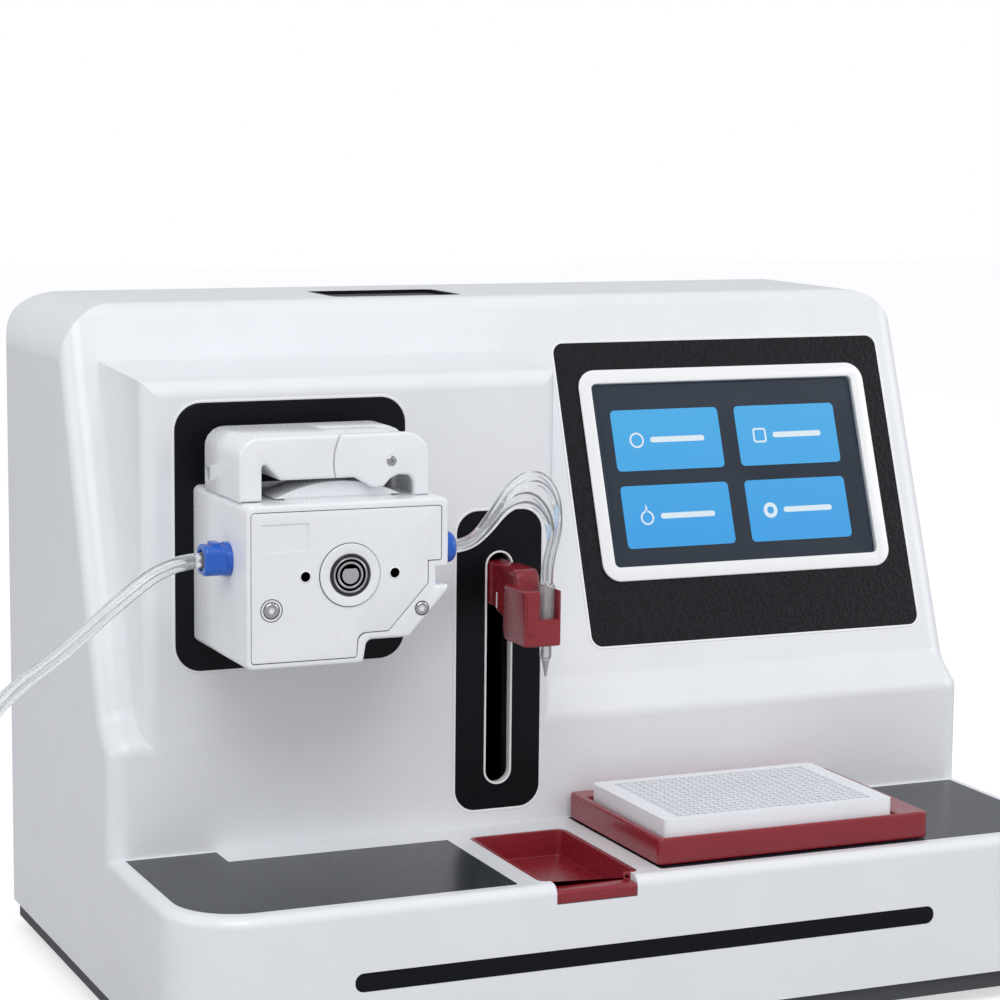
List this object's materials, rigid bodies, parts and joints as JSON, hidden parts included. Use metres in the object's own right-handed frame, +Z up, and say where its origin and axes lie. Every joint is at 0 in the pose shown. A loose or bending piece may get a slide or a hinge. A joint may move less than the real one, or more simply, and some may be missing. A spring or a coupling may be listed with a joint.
{
  "type": "liquid handling robot",
  "caption": "Bench-top liquid handling robot: peristaltic pump head, one dispensing tip in a slot, a travelling microplate carrier, a drip tray and a touch screen on the leaning face.",
  "frame": {"origin": "Centre of the footprint of the instrument, without its tubes, at the level of the bench", "axes": "+X along the longest side, to the right seen from the front; +Z up; the front faces -Y"},
  "size_m": [0.5792, 0.32, 0.344],
  "materials": {
    "housing_white": "satin moulded plastic",
    "base_grey": "fine-grained moulded plastic",
    "foot_rubber": "matt rubber",
    "screw_steel": "turned steel",
    "inlay_slate": "satin slate-grey plastic",
    "panel_black": "leather-grained black plastic",
    "trim_white": "smooth white plastic",
    "display_glass": "clear cover glass",
    "display_blue": "lit display",
    "black_plastic": "matt black plastic",
    "brass_pins": "turned brass",
    "steel_bright": "ground steel",
    "board_green": "circuit board",
    "steel_sheet": "zinc-plated sheet steel",
    "aluminium_grey": "milled aluminium",
    "motor_black": "black painted steel",
    "red_plastic": "satin red plastic",
    "pump_white": "satin white plastic",
    "bearing_dark": "dark oiled steel",
    "clip_blue": "blue plastic",
    "tube_clear": "clear flexible tubing",
    "plate_white": "white polystyrene"
  },
  "bodies": {
    "chassis": {"base_pan": "base_grey", "case_screws": "screw_steel", "control_board": "board_green", "data_port": "steel_bright", "deck_inlays": "inlay_slate", "display_glass": "display_glass", "display_module": "display_blue", "drive_motors": "motor_black", "front_strip": "inlay_slate", "housing_shell": "housing_white", "inlet_clip": "clip_blue", "inlet_pins": "brass_pins", "lever_pin": "screw_steel", "lift_frame": "steel_sheet", "linear_rails": "steel_bright", "outlet_clip": "clip_blue", "outlet_tubes": "tube_clear", "power_inlet": "black_plastic", "power_supply": "steel_sheet", "pump_backplate": "panel_black", "pump_bearing": "bearing_dark", "pump_body": "pump_white", "pump_cover": "pump_white", "pump_motor": "motor_black", "pump_screws": "screw_steel", "pump_tube": "tube_clear", "rear_panel": "housing_white", "rocker_frame": "black_plastic", "rubber_feet": "foot_rubber", "screen_bezel": "trim_white", "screen_panel": "panel_black", "slot_panel": "panel_black", "slot_trim": "trim_white", "supply_coil": "tube_clear", "supply_tubes": "tube_clear", "top_insert": "panel_black", "travel_belt": "foot_rubber", "travel_frame": "steel_sheet"},
    "head": {"lift_carriage": "aluminium_grey", "lift_nut": "brass_pins", "head_arm": "red_plastic", "tube_sleeve": "tube_clear", "dispense_tip": "screw_steel"},
    "lead_screw": {"lift_screw": "steel_bright"},
    "carrier": {"travel_carriage": "aluminium_grey", "drive_magnets": "steel_bright", "plate_carrier": "red_plastic"},
    "drive_wheel": {"drive_pulley": "aluminium_grey"},
    "idler_wheel": {"idler_pulley": "aluminium_grey"},
    "plate": {"microplate": "plate_white"},
    "tray": {"drip_tray": "red_plastic"},
    "rotor": {"pump_rotor": "black_plastic", "pump_shaft": "steel_bright"},
    "roller_1": {"pump_roller_1": "steel_bright"},
    "roller_2": {"pump_roller_2": "steel_bright"},
    "roller_3": {"pump_roller_3": "steel_bright"},
    "roller_4": {"pump_roller_4": "steel_bright"},
    "lever": {"clamp_lever": "pump_white"},
    "bed": {"clamp_bed": "pump_white"},
    "rocker": {"power_rocker": "black_plastic"}
  },
  "joints": [
    {"name": "head_lift", "type": "slide", "parent": "chassis", "child": "head", "axis": [0, 0, 1], "range_m": [-0.062, 0], "deforming": ["outlet_tubes"]},
    {"name": "lead_screw_spin", "type": "hinge", "parent": "chassis", "child": "lead_screw", "pos_m": [-0.058, -0.017, 0.18], "axis": [0, 0, 1], "range_deg": [-2800, 5]},
    {"name": "carrier_travel", "type": "slide", "parent": "chassis", "child": "carrier", "axis": [1, 0, 0], "range_m": [-0.16, 0]},
    {"name": "drive_pulley_spin", "type": "hinge", "parent": "chassis", "child": "drive_wheel", "pos_m": [0.172, -0.013, 0.05475], "axis": [0, 0, 1], "range_deg": [-1395, 5]},
    {"name": "idler_pulley_spin", "type": "hinge", "parent": "chassis", "child": "idler_wheel", "pos_m": [-0.15, -0.013, 0.05475], "axis": [0, 0, 1], "range_deg": [-1395, 5]},
    {"name": "microplate_lift", "type": "slide", "parent": "carrier", "child": "plate", "axis": [0, 0, 1], "range_m": [0, 0.04]},
    {"name": "drip_tray_lift", "type": "slide", "parent": "chassis", "child": "tray", "axis": [0, 0, 1], "range_m": [0, 0.04]},
    {"name": "rotor_spin", "type": "hinge", "parent": "chassis", "child": "rotor", "pos_m": [-0.1452, -0.098, 0.2305], "axis": [0, 1, 0], "continuous": true},
    {"name": "roller_1_spin", "type": "hinge", "parent": "rotor", "child": "roller_1", "pos_m": [-0.13212, -0.098, 0.24358], "axis": [0, 1, 0], "continuous": true},
    {"name": "roller_2_spin", "type": "hinge", "parent": "rotor", "child": "roller_2", "pos_m": [-0.15828, -0.098, 0.24358], "axis": [0, 1, 0], "continuous": true},
    {"name": "roller_3_spin", "type": "hinge", "parent": "rotor", "child": "roller_3", "pos_m": [-0.15828, -0.098, 0.21742], "axis": [0, 1, 0], "continuous": true},
    {"name": "roller_4_spin", "type": "hinge", "parent": "rotor", "child": "roller_4", "pos_m": [-0.13212, -0.098, 0.21742], "axis": [0, 1, 0], "continuous": true},
    {"name": "lever_hinge", "type": "hinge", "parent": "chassis", "child": "lever", "pos_m": [-0.1212, -0.09, 0.2805], "axis": [0, 1, 0], "range_deg": [0, 90]},
    {"name": "bed_lift", "type": "slide", "parent": "chassis", "child": "bed", "axis": [0, 0, 1], "range_m": [0, 0.005]},
    {"name": "rocker_switch", "type": "hinge", "parent": "chassis", "child": "rocker", "pos_m": [-0.095, 0.152, 0.06], "axis": [1, 0, 0], "range_deg": [-8, 8]}
  ],
  "couplings": [
    {"joint": "lead_screw_spin", "follows": "head_lift", "rad_per_m": 785.4},
    {"joint": "drive_pulley_spin", "follows": "carrier_travel", "rad_per_m": 151.5},
    {"joint": "idler_pulley_spin", "follows": "carrier_travel", "rad_per_m": 151.5},
    {"joint": "bed_lift", "follows": "lever_hinge", "m_per_rad": 0.00318},
    {"joint": "roller_1_spin", "follows": "rotor_spin", "ratio": -4.7},
    {"joint": "roller_2_spin", "follows": "rotor_spin", "ratio": -4.7},
    {"joint": "roller_3_spin", "follows": "rotor_spin", "ratio": -4.7},
    {"joint": "roller_4_spin", "follows": "rotor_spin", "ratio": -4.7}
  ]
}
